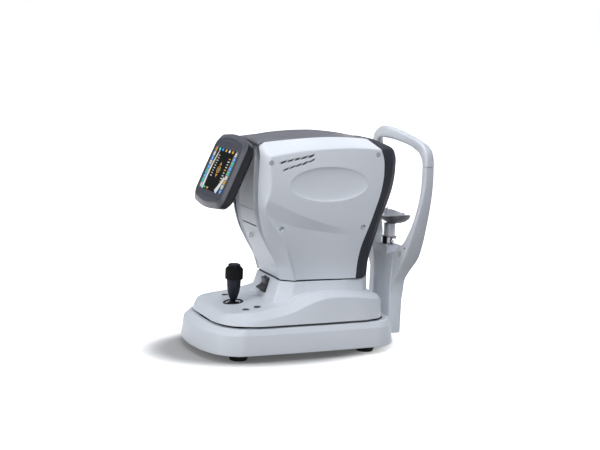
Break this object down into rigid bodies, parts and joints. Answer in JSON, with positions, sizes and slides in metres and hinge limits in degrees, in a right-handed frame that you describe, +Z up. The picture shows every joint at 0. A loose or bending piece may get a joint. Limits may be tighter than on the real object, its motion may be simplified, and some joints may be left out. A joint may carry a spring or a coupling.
{
  "type": "autorefractor",
  "caption": "Tabletop eye-measuring instrument: sliding stage with joystick, lifting measuring head with tilting display and printer, and a headrest with adjustable chin rest.",
  "frame": {"origin": "under the middle of the overall box, on the surface that the feet stand on", "axes": "+Z up; -Y is the operator side with the display and joystick, +Y the patient side with the headrest; +X is on the right hand of the operator"},
  "size_m": [0.2568, 0.4681, 0.436],
  "materials": {
    "white_plastic": "satin moulded, cool white",
    "white_gloss": "polished moulded white",
    "dark_plastic": "satin, dark blue grey",
    "top_plastic": "satin, slate grey",
    "monitor_plastic": "satin, slate grey",
    "monitor_back_plastic": "fine texture, near black",
    "joystick_plastic": "satin, near black",
    "button_plastic": "satin, dark grey",
    "grey_plastic": "satin, dark grey",
    "black_plastic": "fine texture, black",
    "cap_plastic": "satin, light grey",
    "rubber": "matt",
    "pad_rubber": "matt, soft grey",
    "plated_steel": "zinc plated",
    "screw_steel": "plated",
    "ground_steel": "ground",
    "chromed_brass": "bright",
    "bronze": "sintered",
    "cast_alloy": "cast and machined",
    "motor_can": "black painted steel",
    "black_metal": "black anodised",
    "mire_diffuser": "frosted diffuser",
    "window_glass": "coated optical glass",
    "circuit_board": "green laminate",
    "thermal_paper": "coated paper",
    "display": "glossy display"
  },
  "bodies": {
    "base": {"base_cover": "white_plastic", "base_plate": "plated_steel", "rubber_feet": "rubber", "base_screws": "screw_steel", "y_rails": "ground_steel", "mains_inlet": "black_plastic", "power_board": "circuit_board", "headrest_column": "white_plastic", "headrest_arm_right": "white_plastic", "headrest_arm_left": "white_plastic", "forehead_arch": "white_plastic", "forehead_pad": "pad_rubber", "headrest_screws": "screw_steel", "pole_collar": "black_plastic", "chin_motor": "motor_can"},
    "cross_slide": {"cross_slide_frame": "cast_alloy", "slide_bushings": "bronze"},
    "stage": {"stage_cover": "white_plastic", "neck_cover": "white_plastic", "stage_chassis": "plated_steel", "x_rods": "ground_steel", "lift_guides": "ground_steel", "lift_motor": "motor_can", "button_boards": "circuit_board", "joystick_socket": "black_plastic"},
    "lift_screw": {"lift_screw": "ground_steel"},
    "gimbal": {"gimbal_ring": "chromed_brass"},
    "joystick": {"joystick_grip": "joystick_plastic"},
    "height_ring": {"height_ring": "joystick_plastic"},
    "joystick_button": {"joystick_button": "joystick_plastic"},
    "print_button": {"print_button": "button_plastic"},
    "mode_button": {"mode_button": "button_plastic"},
    "menu_button": {"menu_button": "button_plastic"},
    "rocker": {"rocker": "grey_plastic"},
    "head": {"side_shell_right": "white_plastic", "side_shell_left": "white_plastic", "patient_cover": "dark_plastic", "front_cover": "white_plastic", "top_cover": "top_plastic", "head_chassis": "cast_alloy", "optics_barrel": "black_metal", "mire_ring": "mire_diffuser", "measuring_window": "window_glass", "main_board": "circuit_board", "printer_body": "black_plastic", "shell_screws": "cap_plastic", "monitor_bracket": "plated_steel", "lift_sleeve": "dark_plastic"},
    "monitor": {"monitor_bezel": "monitor_plastic", "monitor_back": "monitor_back_plastic", "lcd_panel": "display"},
    "printer_door": {"printer_door": "white_plastic"},
    "paper_roll": {"paper_roll": "thermal_paper"},
    "release_button": {"release_button": "white_gloss"},
    "chin_rest": {"chin_pole": "white_gloss", "chin_cup": "white_gloss", "paper_pins": "chromed_brass"},
    "chin_screw": {"chin_screw": "ground_steel"},
    "thumbscrew": {"collar_thumbscrew": "chromed_brass"}
  },
  "joints": [
    {"name": "stage_fore_aft", "type": "slide", "parent": "base", "child": "cross_slide", "axis": [0, 1, 0], "range_m": [-0.036, 0.002]},
    {"name": "stage_sideways", "type": "slide", "parent": "cross_slide", "child": "stage", "axis": [1, 0, 0], "range_m": [-0.04, 0.04]},
    {"name": "head_lift", "type": "slide", "parent": "stage", "child": "head", "axis": [0, 0, 1], "range_m": [0, 0.026]},
    {"name": "lift_screw_turn", "type": "hinge", "parent": "stage", "child": "lift_screw", "pos_m": [0, 0.01, 0.12], "axis": [0, 0, 1], "range_deg": [0, 1880]},
    {"name": "stick_fore_aft", "type": "hinge", "parent": "stage", "child": "gimbal", "pos_m": [0, -0.143, 0.084], "axis": [1, 0, 0], "range_deg": [-10, 10]},
    {"name": "stick_sideways", "type": "hinge", "parent": "gimbal", "child": "joystick", "pos_m": [0, -0.143, 0.084], "axis": [0, 1, 0], "range_deg": [-10, 10]},
    {"name": "height_ring_turn", "type": "hinge", "parent": "joystick", "child": "height_ring", "pos_m": [0, -0.143, 0.15], "axis": [0, 0, 1], "range_deg": [0, 725]},
    {"name": "joystick_button_press", "type": "slide", "parent": "joystick", "child": "joystick_button", "axis": [0, 0, -1], "range_m": [0, 0.0015], "stiffness_N_per_m": 400},
    {"name": "print_button_press", "type": "slide", "parent": "stage", "child": "print_button", "axis": [0, 0, -1], "range_m": [0, 0.0012], "stiffness_N_per_m": 400},
    {"name": "mode_button_press", "type": "slide", "parent": "stage", "child": "mode_button", "axis": [0, 0, -1], "range_m": [0, 0.0012], "stiffness_N_per_m": 400},
    {"name": "menu_button_press", "type": "slide", "parent": "stage", "child": "menu_button", "axis": [0, 0, -1], "range_m": [0, 0.0012], "stiffness_N_per_m": 400},
    {"name": "rocker_tilt", "type": "hinge", "parent": "stage", "child": "rocker", "pos_m": [0, -0.075, 0.1235], "axis": [1, 0, 0], "range_deg": [-6, 6], "stiffness_Nm_per_rad": 0.08},
    {"name": "monitor_tilt", "type": "hinge", "parent": "head", "child": "monitor", "pos_m": [0, -0.1305, 0.386], "axis": [1, 0, 0], "range_deg": [-15, 20]},
    {"name": "printer_door_open", "type": "hinge", "parent": "head", "child": "printer_door", "pos_m": [0, -0.1126, 0.2475], "axis": [1, 0, 0], "range_deg": [0, 95]},
    {"name": "paper_roll_spin", "type": "hinge", "parent": "head", "child": "paper_roll", "pos_m": [0, -0.094, 0.282], "axis": [1, 0, 0], "continuous": true},
    {"name": "release_button_press", "type": "slide", "parent": "head", "child": "release_button", "axis": [0, 1, 0], "range_m": [0, 0.002], "stiffness_N_per_m": 400},
    {"name": "chin_lift", "type": "slide", "parent": "base", "child": "chin_rest", "axis": [0, 0, 1], "range_m": [-0.015, 0.035]},
    {"name": "chin_screw_turn", "type": "hinge", "parent": "base", "child": "chin_screw", "pos_m": [0, 0.194, 0.1], "axis": [0, 0, 1], "range_deg": [-1810, 4210]},
    {"name": "thumbscrew_turn", "type": "hinge", "parent": "base", "child": "thumbscrew", "pos_m": [0.02, 0.194, 0.204], "axis": [1, 0, 0], "range_deg": [-180, 180]}
  ],
  "couplings": [
    {"joint": "lift_screw_turn", "follows": "head_lift", "rad_per_m": 1256.6},
    {"joint": "height_ring_turn", "follows": "head_lift", "rad_per_m": 483.32},
    {"joint": "chin_screw_turn", "follows": "chin_lift", "rad_per_m": 2094.4}
  ]
}
